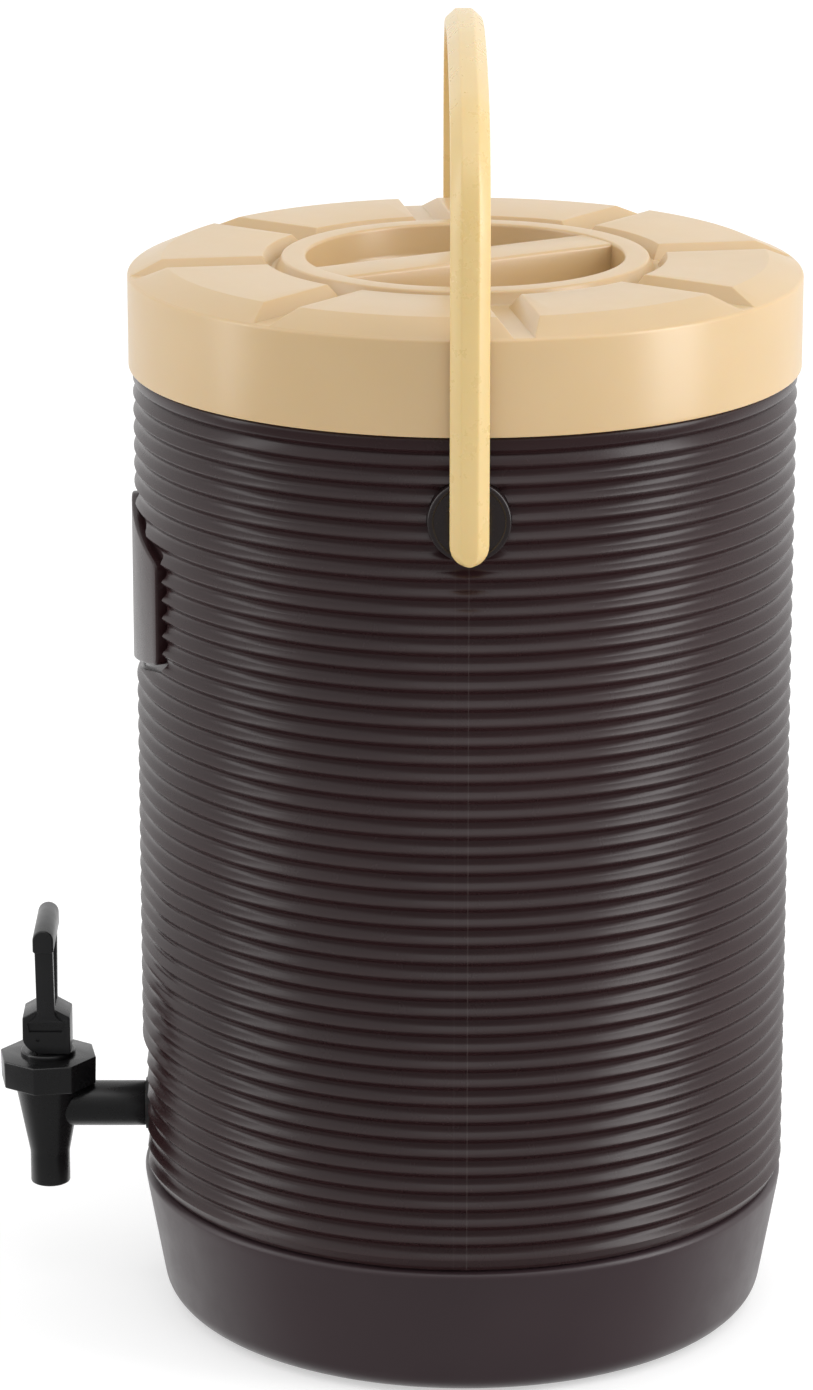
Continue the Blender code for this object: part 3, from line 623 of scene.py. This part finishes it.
# Lid tray: the white moulded plug under the lid that hangs in the lining's mouth, with a flange
# that holds the seal.
tray_in, tray_floor, flange_r, flange_low, flange_top = 0.1130, 0.4330, 0.1408, 0.4560, 0.4585
tray_profile = [(0.0, tray_floor), (0.1122, tray_floor)] + arc(0.1125, 0.4360, 0.0030, -90, 0, 6)
tray_profile += [(0.1155, 0.4552), (0.1159, flange_low), (0.1404, flange_low), (flange_r, 0.4564)]
tray_profile += [(flange_r, 0.4581), (0.1404, flange_top), (tray_in, flange_top)]
tray_profile += [(tray_in, tray_floor + 0.0028), (0.0, tray_floor + 0.0028)]
tray = turn("lid_tray", tray_profile, 144)
smooth(tray)
tray_dark, tray_light = (0.70, 0.68, 0.62), (0.78, 0.76, 0.70)
wear(tray, moulded("white_tray_finish", tray_dark, tray_light, (0.38, 0.48), 0.40))
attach(tray, "lid")
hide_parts("lid_under")


# Lid seal: a pale silicone ring stretched under the tray's flange. Its lips close on the rim.
def silicone(name, tone=(0.74, 0.74, 0.71)):
    """Soft rubber: dull, a little see-through, with very fine grain."""
    mat, tree, shader, place = fresh_finish(name)
    shade = tuple(0.88 * part for part in tone)
    colour = blend_tones(tree, speckle(tree, place, 40.0), 0.3, 0.7, shade, tone)
    tree.links.new(colour, shader.inputs["Base Color"])
    tree.links.new(spread(tree, speckle(tree, place, 300.0), 0.48, 0.62), shader.inputs["Roughness"])
    tree.links.new(raise_grain(tree, speckle(tree, place, 1800.0), 0.1, 0.0001), shader.inputs["Normal"])
    shader.inputs["Subsurface Weight"].default_value = 0.3
    shader.inputs["Subsurface Scale"].default_value = 0.002
    return mat


seal_profile = [(0.1245, 0.4534), (0.1252, 0.4527), (0.1262, 0.4526), (0.1272, 0.4530), (0.1290, 0.4531)]
seal_profile += [(0.1308, 0.4530), (0.1318, 0.4526), (0.1328, 0.4527), (0.1335, 0.4534), (0.1335, 0.4552)]
seal_profile += [(0.1330, 0.4557), (0.1250, 0.4557), (0.1245, 0.4552), (0.1245, 0.4534)]
seal = turn("seal_ring", seal_profile, 144)
smooth(seal, 50)
wear(seal, silicone("silicone_seal"))
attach(seal, "lid")
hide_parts("lid_seal")

# Bail: the cream carrying handle, a moulded strip with a flat back, two sloping outer facets and
# rounded tips. It rises straight from the sockets, turns two corners and bows over the lid.
bail_pivot = 0.3980
bail_back = 0.1493
bail_thick = 0.0080
bail_wide = 0.00825
bail_mid = bail_back + bail_thick / 2
bail_corner = 0.055
bail_bow = math.radians(12)
leg_top_x = bail_mid - bail_corner
bow_r = (leg_top_x + bail_corner * math.sin(bail_bow)) / math.sin(bail_bow)
bow_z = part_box("bail_handle")[1].z - bail_thick / 2 - bow_r
corner_z = bow_z + (bow_r - bail_corner) * math.cos(bail_bow)
leg_start = 0.3890
tip_depth = 0.0094
tip_turns = [math.radians(angle) for angle in (80, 66, 52, 39, 26, 13, 0)]


def tip_share(angle):
    """How wide and how thick the tip is at an angle round its end."""
    return math.cos(angle), 0.40 + 0.60 * math.cos(angle)


def pull(step):
    """Extrudes the selected face by a step."""
    bpy.ops.mesh.extrude_region_move(TRANSFORM_OT_translate={"value": step})


def squeeze(before, after, back, height):
    """Scales the end face from one tip angle's size to the next, about the strip's back."""
    wide_before, thick_before = tip_share(before)
    wide_after, thick_after = tip_share(after)
    size = (thick_after / thick_before, wide_after / wide_before, 1)
    bpy.ops.transform.resize(value=size, center_override=(back, 0, height))


facet = bail_thick - 0.0043
crest_half = 0.0036
section = [(0, -bail_wide), (0, bail_wide), (facet, bail_wide), (bail_thick, crest_half)]
section += [(bail_thick, -crest_half), (facet, -bail_wide)]
first_wide, first_thick = tip_share(tip_turns[0])
tip_z = leg_start - tip_depth * math.sin(tip_turns[0])
places = [(bail_back + deep * first_thick, across * first_wide, tip_z) for deep, across in section]
bail = fill_outline("carrying_bail", places)
for before, after in zip(tip_turns, tip_turns[1:]):
    rise = tip_depth * (math.sin(before) - math.sin(after))
    pull((0, 0, rise))
    squeeze(before, after, bail_back, leg_start - tip_depth * math.sin(after))
pull((0, 0, corner_z - leg_start))
corner_turn = math.pi / 2 - bail_bow
bpy.ops.mesh.spin(steps=26, angle=corner_turn, center=(leg_top_x, 0, corner_z), axis=(0, 1, 0))
bpy.ops.mesh.spin(steps=16, angle=2 * bail_bow, center=(0, 0, bow_z), axis=(0, 1, 0))
bpy.ops.mesh.spin(steps=26, angle=corner_turn, center=(-leg_top_x, 0, corner_z), axis=(0, 1, 0))
pull((0, 0, leg_start - corner_z))
for after, before in zip(tip_turns[-2::-1], tip_turns[:0:-1]):
    drop = tip_depth * (math.sin(before) - math.sin(after))
    pull((0, 0, drop))
    squeeze(before, after, -bail_back, leg_start - tip_depth * math.sin(after))
settle()
round_edges(bail, 0.0007, 3, 24)
stud_r, stud_end, stud_root = 0.0050, 0.1295, 0.1513
stud_profile = [(0.0, stud_end), (stud_r - 0.0006, stud_end), (stud_r, stud_end + 0.0006)]
stud_profile += [(stud_r, stud_root), (0.0, stud_root)]
for side in (1, -1):
    stud = turn("stud", stud_profile, 48, (0, 0, bail_pivot), (side, 0, 0), (0, 0, 1))
    fit(bail, stud, "UNION")
smooth(bail, 34)
bail_dark, bail_light = (0.66, 0.480, 0.205), (0.70, 0.520, 0.235)
wear(bail, cream_plastic("cream_bail_finish", bail_dark, bail_light, (0.26, 0.30), 0.62, 0.003))
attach(bail, "bail")
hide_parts("bail_handle")

# Tap body: black moulded plastic in one piece. A short spout widens into the valve chamber, and a
# pipe runs back to the threaded shank that goes through the wall.
tap_y = -0.1895
wall_face = -0.1452
# A lighter black painted on the tap's and lever's sharp edges as a highlight.
black_edge_highlight = (0.03, 0.03, 0.031)
tap_black = moulded(
    "tap_black", (0.0052, 0.0052, 0.0056), (0.0085, 0.0085, 0.0090), (0.20, 0.34), 0.50, 0.07, black_edge_highlight
)
spout_r, spout_low = 0.0090, 0.0479
chamber_r, chamber_top = 0.0160, 0.1050
spout = [(0.0, spout_low), (0.0083, spout_low), (0.0088, 0.0482), (spout_r, 0.0487), (spout_r, 0.0620)]
spout += [(0.0091, 0.0634), (0.0094, 0.0650), (0.0148, 0.0935), (0.0152, 0.0955), (0.0155, 0.0963)]
spout += [(chamber_r, 0.0966), (chamber_r, chamber_top), (0.0, chamber_top)]
tap = turn("tap_casting", spout, 72, (0, tap_y, 0))
pipe_r, shank_r, shank_end = 0.01035, 0.0090, -0.1050
pipe = [(0.0, tap_y), (pipe_r, tap_y), (pipe_r, wall_face - 0.0006), (0.0101, wall_face)]
pipe += [(shank_r, wall_face)]
thread_start, thread_end, thread_pitch, thread_depth = -0.1420, -0.1060, 0.0014, 0.0006
for step in range(int((thread_end - thread_start) / thread_pitch)):
    at = thread_start + step * thread_pitch
    pipe += [(shank_r, at), (shank_r - thread_depth, at + thread_pitch / 2)]
pipe += [(0.0086, shank_end - 0.0006), (0.0082, shank_end), (0.0, shank_end)]
inlet = turn("inlet", pipe, 56, (0, 0, shank_z), (0, 1, 0), (0, 0, 1))
fit(tap, inlet, "UNION")
spout_bore_r, seat_z, chamber_bore_r, pipe_bore_r = 0.0065, 0.0780, 0.0110, 0.0060
bore = [(0.0, 0.0400), (spout_bore_r, 0.0400), (spout_bore_r, seat_z), (chamber_bore_r, seat_z)]
bore += [(chamber_bore_r, 0.1200), (0.0, 0.1200)]
fit(tap, turn("bore", bore, 62, (0, tap_y, 0)), "DIFFERENCE")
drill(tap, pipe_bore_r, (0, tap_y + 0.004, shank_z), (0, -0.09, shank_z), 46)
smooth(tap, 35)
wear(tap, tap_black)
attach(tap, "barrel")
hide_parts("tap_body")

# Bonnet: the eight-sided cap that screws down over the valve chamber and holds the spring in. A
# polished collar stands on it, and the lever's foot rocks on that.
nut_r, nut_low, nut_top, collar_top = 0.0228, 0.0972, 0.1102, 0.1125
bpy.ops.object.select_all(action="DESELECT")
bpy.ops.mesh.primitive_cylinder_add(
    vertices=8, radius=nut_r, depth=nut_top - nut_low, location=(0, tap_y, (nut_low + nut_top) / 2)
)
bonnet = bpy.context.object
bonnet.name = "bonnet_cap"
bonnet.rotation_euler.z = math.radians(-13.2 - 90)
bpy.ops.object.transform_apply(location=True, rotation=True, scale=True)
nut_draft = 0.985
for vertex in bonnet.data.vertices:
    if vertex.co.z < (nut_low + nut_top) / 2:
        vertex.co.x *= nut_draft
        vertex.co.y = tap_y + (vertex.co.y - tap_y) * nut_draft
round_edges(bonnet, 0.0007, 3, 30)
collar_r = 0.0125
collar = [(0.0, 0.1080), (collar_r, 0.1080), (collar_r, 0.1113)] + arc(0.0115, 0.1115, 0.0010, 0, 90, 4)
collar += [(0.0, collar_top)]
fit(bonnet, turn("collar", collar, 64, (0, tap_y, 0)), "UNION")
nut_bore_r, nut_roof, stem_hole_r = 0.0163, 0.1070, 0.0039
nut_bore = [(0.0, 0.0800), (nut_bore_r, 0.0800), (nut_bore_r, nut_roof), (stem_hole_r, nut_roof)]
nut_bore += [(stem_hole_r, 0.1300), (0.0, 0.1300)]
fit(bonnet, turn("nut_bore", nut_bore, 60, (0, tap_y, 0)), "DIFFERENCE")
smooth(bonnet, 30)
wear(bonnet, tap_black)
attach(bonnet, "barrel")
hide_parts("tap_bonnet")

# Inside of the tap: a turned stem with its eye and flange, the coil spring on the flange, the
# silicone plug on the spout's seat and the gasket under the bonnet. They keep their own shapes.
wear(nodes["tap_stem"], brushed("turned_stem", (300, 300, 2500), 0.16, 0.28))
wear(nodes["tap_spring"], brushed("drawn_wire", (900, 900, 900), 0.22, 0.32))
wear(nodes["lever_pin"], brushed("ground_pin", (2200, 300, 300), 0.14, 0.24))
wear(nodes["lock_nut"], brushed("cut_nut", (200, 1800, 200), 0.22, 0.34))
wear(nodes["tap_seat_plug"], silicone("silicone_seat"))
wear(nodes["bonnet_gasket"], silicone("silicone_cap"))
wear(nodes["inner_washer"], silicone("silicone_washer"))
wear(nodes["outer_washer"], silicone("rubber_washer", (0.020, 0.020, 0.021)))

# Lever: black moulded plastic. A roof-shaped foot straddles the stem's eye, two legs lean apart
# from it, and a round-topped finger bar joins them. Flipping it forward opens the tap.
pin_z = 0.1197
foot_x, foot_y = 0.0100, 0.0108
rest = pin_z - collar_top
ridge_half, ridge_z, eaves_z = 0.0042, 0.0145, 0.0108
cam_steps, cam_lift, cam_gap, cam_relief = 12, 0.0040, 0.0003, 0.0005
foot = [(-ridge_half, ridge_z), (ridge_half, ridge_z), (foot_y, eaves_z), (foot_y, cam_gap - rest)]
foot += [(0.0, cam_gap - rest)]
for step in range(1, cam_steps + 1):
    swing = math.pi / 2 * step / cam_steps
    reach = rest + cam_lift * step / cam_steps - cam_gap - cam_relief * math.sin(2 * swing)
    foot.append((-reach * math.sin(swing), -reach * math.cos(swing)))
foot += [(-foot_y, eaves_z)]
lever = fill_outline("flip_lever", [(-foot_x, tap_y + y, pin_z + z) for y, z in foot])
pull((2 * foot_x, 0, 0))
settle()
round_edges(lever, 0.0006, 3, 28)


def lever_leg(side):
    """A leg that flares out of the foot's end with hollow sides, and leans outwards to the bar."""
    flare_steps, lean_steps = 8, 5
    leg_half, root_deep, leg_deep = 0.0041, 0.0030, 0.0026
    stations = []
    for step in range(flare_steps + 1):
        share = step / flare_steps
        flare = 0.0062 * (1 - math.sin(math.pi / 2 * share)) ** 2
        stations.append((0.0070 + 0.0030 * share, 0.1275 + 0.0085 * share, leg_half + flare, root_deep))
    for step in range(1, lean_steps + 1):
        share = step / lean_steps
        stations.append((0.0100 + 0.0056 * share, 0.1360 + 0.0300 * share, leg_half, leg_deep))
    middle, height, half, deep = stations[0]
    corners = [(-deep, -half), (deep, -half), (deep, half), (-deep, half)]
    leg = fill_outline("leg", [(side * (middle + x), tap_y + y, height) for x, y in corners])
    for last, (middle, height, half, deep) in zip(stations, stations[1:]):
        pull((side * (middle - last[0]), 0, height - last[1]))
        size = (deep / last[3], half / last[2], 1)
        bpy.ops.transform.resize(value=size, center_override=(side * middle, tap_y, height))
    settle()
    round_edges(leg, 0.0005, 2, 50)
    return leg


for side in (1, -1):
    fit(lever, lever_leg(side), "UNION")

finger_half, finger_reach, lever_top = 0.0047, 0.0215, 0.1760
finger_low, finger_round = lever_top - 0.0108, 0.0008
finger = [(finger_round - finger_half, finger_low), (finger_half - finger_round, finger_low)]
finger += [(finger_half, finger_low + finger_round)]
finger += arc(0.0, lever_top - finger_half, finger_half, 0, 180, 14)
finger += [(-finger_half, finger_low + finger_round)]
finger_bar = fill_outline("finger_bar", [(-finger_reach, tap_y + y, z) for y, z in finger])
pull((2 * finger_reach, 0, 0))
settle()
round_edges(finger_bar, 0.0009, 3, 50)
fit(lever, finger_bar, "UNION")

notch_depth, notch_low, notch_high = 0.0012, 0.1236, 0.1280
past_face = 0.004
for side in (1, -1):
    corners = [(-0.0078, notch_low), (0.0070, notch_low), (0.0086, notch_high), (-0.0086, notch_high)]
    notch = fill_outline("notch", [(side * (foot_x - notch_depth), tap_y + y, z) for y, z in corners])
    pull((side * past_face, 0, 0))
    settle()
    fit(lever, notch, "DIFFERENCE")
dimple_r, dimple_depth, dimple_y, dimple_z = 0.0009, 0.0008, tap_y - 0.0040, 0.1199
dimple_floor, dimple_mouth = foot_x - dimple_depth, foot_x + past_face
drill(lever, dimple_r, (dimple_floor, dimple_y, dimple_z), (dimple_mouth, dimple_y, dimple_z), 24)
fork_width, fork_length, fork_low, fork_high = 0.0074, 0.0248, 0.1000, pin_z + 0.0048
fork = cube((0, tap_y - 0.0076, (fork_low + fork_high) / 2), (fork_width, fork_length, fork_high - fork_low))
round_edges(fork, 0.0006, 2, 50)
fit(lever, fork, "DIFFERENCE")
pin_hole_r, pin_hole_end = 0.0017, 0.0080
drill(lever, pin_hole_r, (-0.02, tap_y, pin_z), (pin_hole_end, tap_y, pin_z), 24)
smooth(lever, 30)
lever_black = moulded(
    "lever_black", (0.0062, 0.0062, 0.0068), (0.0100, 0.0100, 0.0108), (0.22, 0.36), 0.50, 0.07, black_edge_highlight
)
wear(lever, lever_black)
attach(lever, "lever")
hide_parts("tap_lever")

# Studio: a pale floor that glows a little and runs out of sight, a dome that is dimmer on the
# camera's side, long soft boxes at both sides that draw the upright highlights, and one above.
floor_size, floor_drop, floor_glow = 60, 0.0004, 0.50
bpy.ops.object.select_all(action="DESELECT")
bpy.ops.mesh.primitive_plane_add(size=floor_size, location=(0, 0, -floor_drop))
floor = bpy.context.object
floor.name = "floor"
floor_mat, floor_tree, floor_shader, floor_place = fresh_finish("pale_floor")
floor_dark, floor_light = (0.60, 0.60, 0.60), (0.62, 0.62, 0.62)
floor_tone = blend_tones(floor_tree, speckle(floor_tree, floor_place, 1.5), 0.3, 0.7, floor_dark, floor_light)
floor_tree.links.new(floor_tone, floor_shader.inputs["Base Color"])
floor_shader.inputs["Roughness"].default_value = 0.9
floor_shader.inputs["Emission Color"].default_value = (1, 1, 1, 1)
floor_shader.inputs["Emission Strength"].default_value = floor_glow
floor_shader.inputs["Specular IOR Level"].default_value = 0.1
wear(floor, floor_mat)
floor.visible_glossy = False

world = bpy.data.worlds.new("studio")
bpy.context.scene.world = world
world.use_nodes = True
sky = world.node_tree
sky_shader = sky.nodes["Background"]
sky_shader.inputs["Color"].default_value = (1, 1, 1, 1)
sky_way = sky.nodes.new("ShaderNodeTexCoord").outputs["Generated"]
sky_split = sky.nodes.new("ShaderNodeSeparateXYZ")
sky.links.new(sky_way, sky_split.inputs["Vector"])


def sky_ramp(axis, start, end, low, high):
    """A strength that runs from low to high as the way of looking turns along an axis."""
    node = sky.nodes.new("ShaderNodeMapRange")
    node.interpolation_type = "SMOOTHSTEP"
    node.inputs["From Min"].default_value = start
    node.inputs["From Max"].default_value = end
    node.inputs["To Min"].default_value = low
    node.inputs["To Max"].default_value = high
    sky.links.new(sky_split.outputs[axis], node.inputs["Value"])
    return node.outputs["Result"]


def sky_sum(operation, first, second):
    """Two strengths put together."""
    node = sky.nodes.new("ShaderNodeMath")
    node.operation = operation
    sky.links.new(first, node.inputs[0])
    sky.links.new(second, node.inputs[1])
    return node.outputs["Value"]


sky_above = sky_ramp("Z", -0.03, 0.10, 0.0, 1.0)
sky_front = sky_ramp("X", 0.45, 1.00, 1.00, 0.34)
sky_behind = sky_ramp("X", 0.30, -0.50, 0.28, 1.00)
sky_dome = sky_sum("MULTIPLY", sky_above, sky_front)
sky.links.new(sky_sum("MAXIMUM", sky_dome, sky_behind), sky_shader.inputs["Strength"])


def soft_box(name, place, aim, width, height, power):
    """A flat rectangular light that faces a place."""
    light = bpy.data.lights.new(name, "AREA")
    light.shape = "RECTANGLE"
    light.size = width
    light.size_y = height
    light.energy = power
    lamp = bpy.data.objects.new(name, light)
    bpy.context.collection.objects.link(lamp)
    lamp.location = place
    lamp.rotation_euler = (Vector(place) - Vector(aim)).to_track_quat("Z", "Y").to_euler()


barrel_middle = (0, 0, 0.3)
soft_box("box_right", (0.55, 1.6, 0.9), barrel_middle, 0.7, 1.9, 18)
soft_box("box_left", (0.2, -1.8, 0.9), barrel_middle, 0.35, 1.9, 6)
soft_box("box_over", (0.5, 0.2, 2.2), barrel_middle, 1.6, 1.6, 6)
bpy.context.scene.view_settings.view_transform = "Standard"
